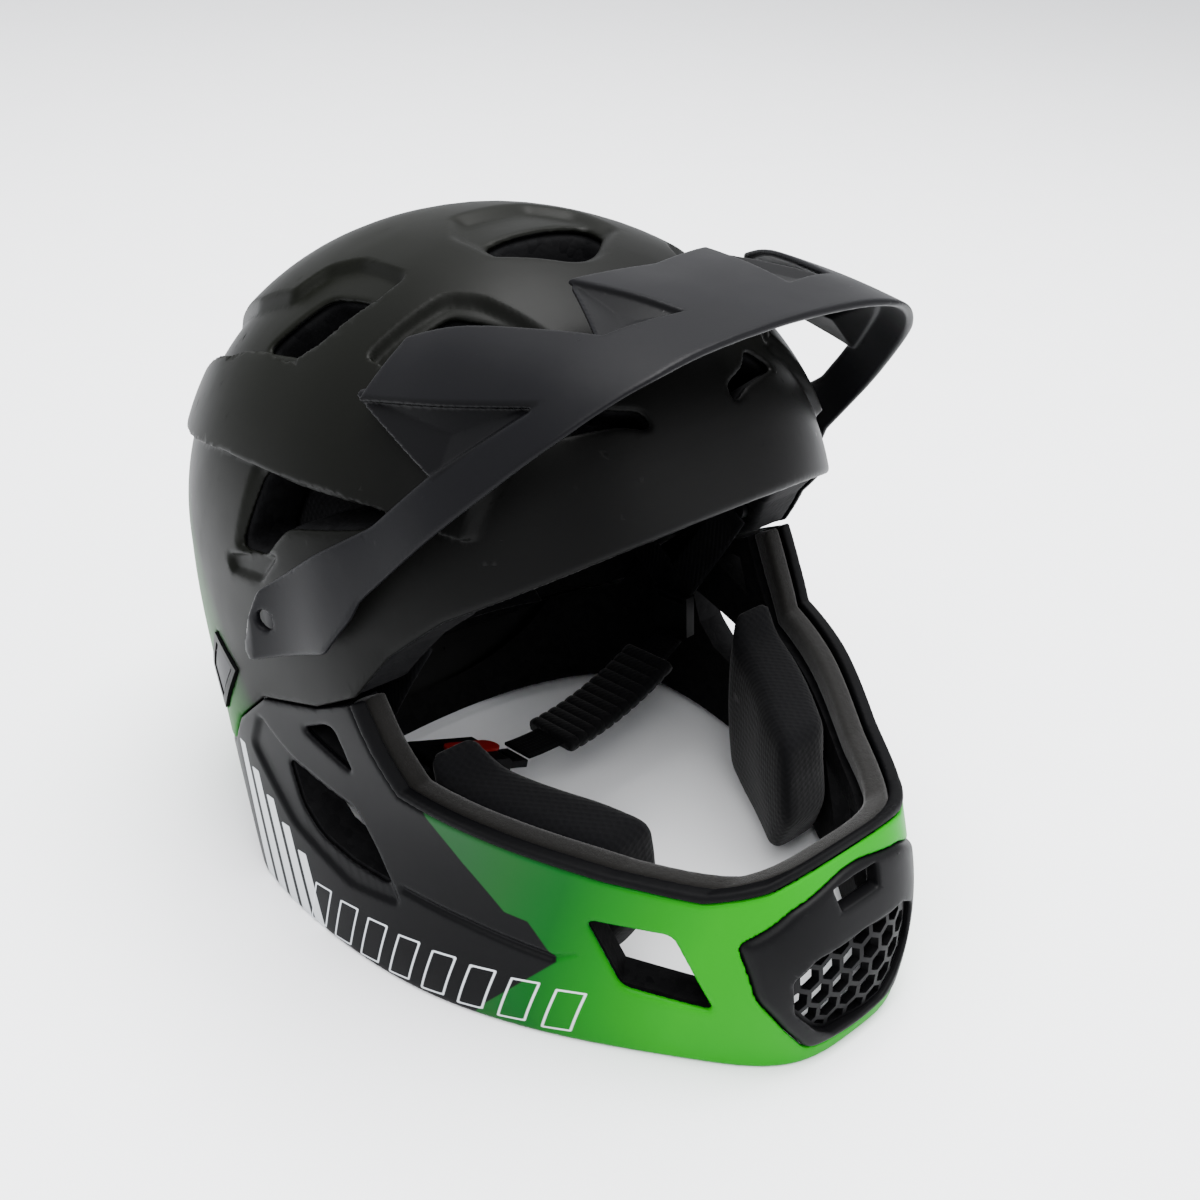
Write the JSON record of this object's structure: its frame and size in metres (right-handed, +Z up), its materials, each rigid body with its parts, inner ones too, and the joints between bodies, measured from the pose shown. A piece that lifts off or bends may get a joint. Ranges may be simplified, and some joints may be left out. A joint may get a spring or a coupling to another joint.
{
  "type": "downhill bike full face helmet",
  "caption": "Full face downhill bicycle helmet with vented shell, tilting visor, removable chin bar with mesh insert, latches, pads and chin strap.",
  "frame": {"origin": "centre of the bounding box's bottom face, on the floor under the helmet", "axes": "+Z up from the floor the helmet rests on, -Y to the front of the helmet, +X to the wearer's left"},
  "size_m": [0.2408, 0.3254, 0.2442],
  "materials": {
    "shell_paint": "matt sprayed dark olive grey with a green fade at the lower rear",
    "chin_paint": "matt sprayed charcoal with a green fade at the front",
    "black_foam": "moulded bead foam",
    "black_rubber": "satin",
    "grey_felt": "pressed felt",
    "steel": "satin",
    "black_plastic": "fine moulded grain",
    "visor_plastic": "fine moulded grain",
    "lever_grey": "fine moulded grain",
    "pad_fabric": "knitted",
    "webbing": "woven",
    "red_tab": "satin"
  },
  "bodies": {
    "helmet": {"shell_outer": "shell_paint", "crown_liner": "black_foam", "latch_housing_right": "black_plastic", "latch_housing_left": "black_plastic", "latch_pins": "steel", "visor_pivot_pegs": "visor_plastic", "brow_pad": "pad_fabric", "side_pads": "pad_fabric", "crown_pad": "pad_fabric", "nape_pad": "pad_fabric", "side_straps_right": "webbing", "side_straps_left": "webbing", "strap_divider_right": "black_plastic", "strap_divider_left": "black_plastic", "strap_anchors": "black_plastic", "chin_strap_sleeve": "pad_fabric", "chin_strap_left": "webbing", "chin_strap_right": "webbing", "buckle_body": "black_plastic"},
    "chin_bar": {"chin_bar_shell": "chin_paint", "chin_bar_edge_trim": "black_rubber", "chin_bar_felt_strip": "grey_felt", "chin_bar_liner": "black_foam", "chin_bar_hooks": "steel", "chin_insert": "black_plastic", "chin_mesh": "black_plastic", "cheek_pad_right": "pad_fabric", "cheek_pad_left": "pad_fabric"},
    "visor": {"visor": "visor_plastic"},
    "lever_right": {"latch_lever_right": "lever_grey"},
    "lever_left": {"latch_lever_left": "lever_grey"},
    "buckle_catch": {"buckle_catch": "black_plastic", "buckle_pull_tab": "red_tab"},
    "buckle_tongue": {"buckle_tongue": "black_plastic"}
  },
  "joints": [
    {"name": "visor_tilt", "type": "hinge", "parent": "helmet", "child": "visor", "pos_m": [0, 0.01502, 0.12908], "axis": [1, 0, 0], "range_deg": [-8, 10]},
    {"name": "chin_bar_release", "type": "slide", "parent": "helmet", "child": "chin_bar", "axis": [0, -1, 0], "range_m": [0, 0.06]},
    {"name": "latch_lever_right_pull", "type": "hinge", "parent": "helmet", "child": "lever_right", "pos_m": [-0.109, 0.06205, 0.08636], "axis": [0.1392, 0.9825, -0.1238], "range_deg": [0, 18], "stiffness_Nm_per_rad": 0.02},
    {"name": "latch_lever_left_pull", "type": "hinge", "parent": "helmet", "child": "lever_left", "pos_m": [0.109, 0.06205, 0.08636], "axis": [0.1392, -0.9825, 0.1238], "range_deg": [0, 18], "stiffness_Nm_per_rad": 0.02},
    {"name": "buckle_catch_lift", "type": "hinge", "parent": "helmet", "child": "buckle_catch", "pos_m": [-0.05097, 0.00972, 0.047], "axis": [0, -0.9922, 0.125], "range_deg": [0, 25], "stiffness_Nm_per_rad": 0.01},
    {"name": "buckle_tongue_ratchet", "type": "slide", "parent": "helmet", "child": "buckle_tongue", "axis": [-0.9455, 0.0407, 0.323], "range_m": [0, 0.0036]}
  ]
}
